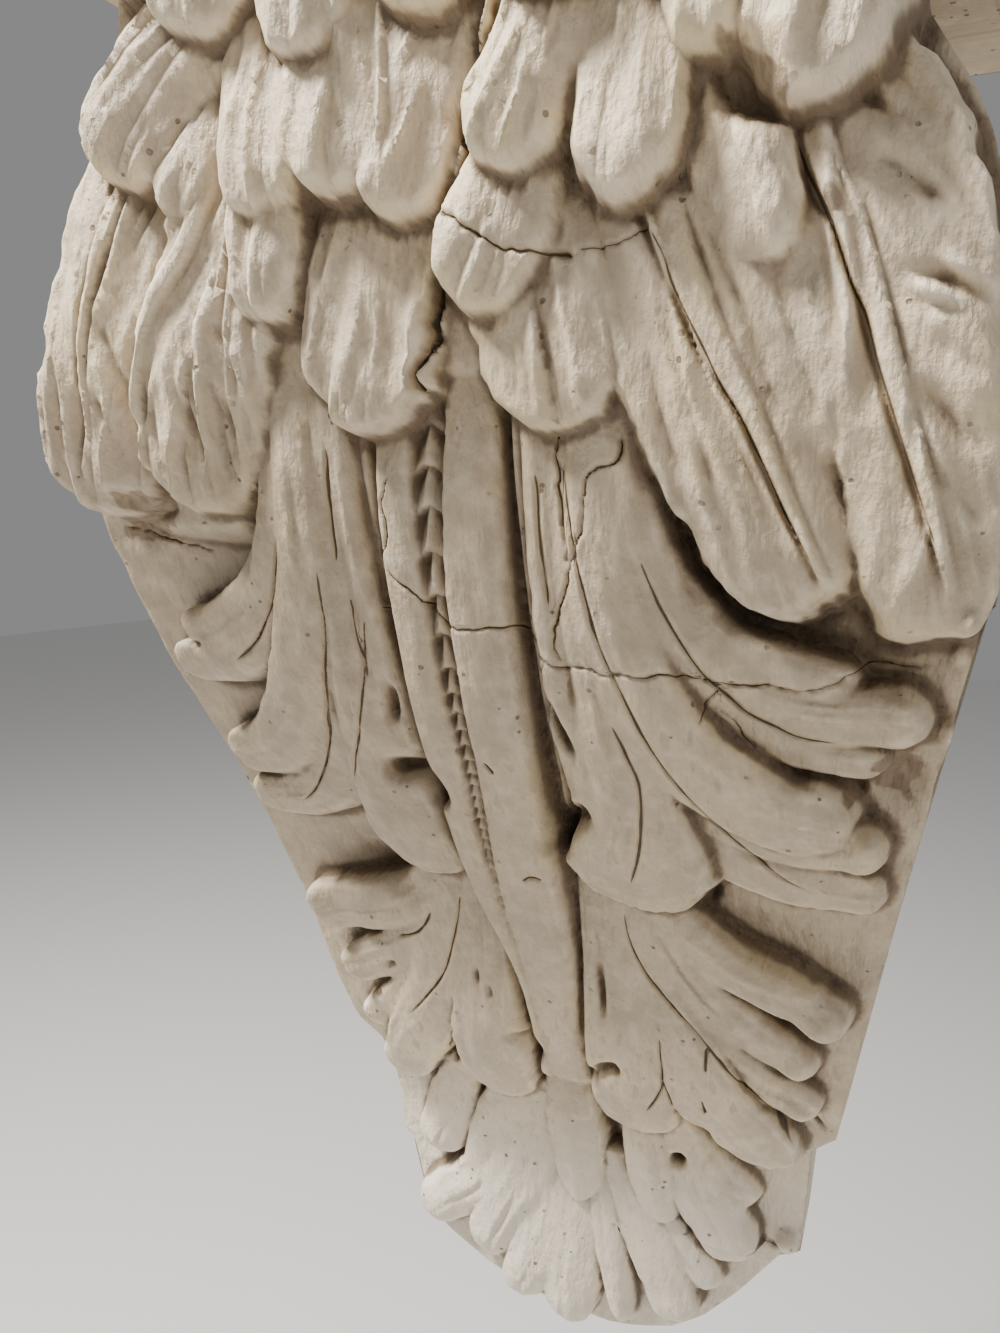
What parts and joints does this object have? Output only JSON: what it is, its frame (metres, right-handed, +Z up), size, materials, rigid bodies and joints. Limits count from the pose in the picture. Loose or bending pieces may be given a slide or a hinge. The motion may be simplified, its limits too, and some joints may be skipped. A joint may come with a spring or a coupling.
{
  "type": "corbel bracket",
  "caption": "Flat-backed tapering wall bracket with carved plumage above, acanthus leaves and a husk stem below, and a plain slab on top.",
  "frame": {"origin": "on the centre line of the flat back, 342 mm below the top face", "axes": "+Z up, -Y out from the wall towards the carved front, +Y into the wall, +X to the right seen from the front"},
  "size_m": [0.3031, 0.247, 0.6072],
  "materials": {
    "painted_wood": "aged off-white paint over gesso on carved wood, dull, with brown dirt in the recesses"
  },
  "bodies": {
    "root": {"corbel": "painted_wood"}
  },
  "joints": []
}
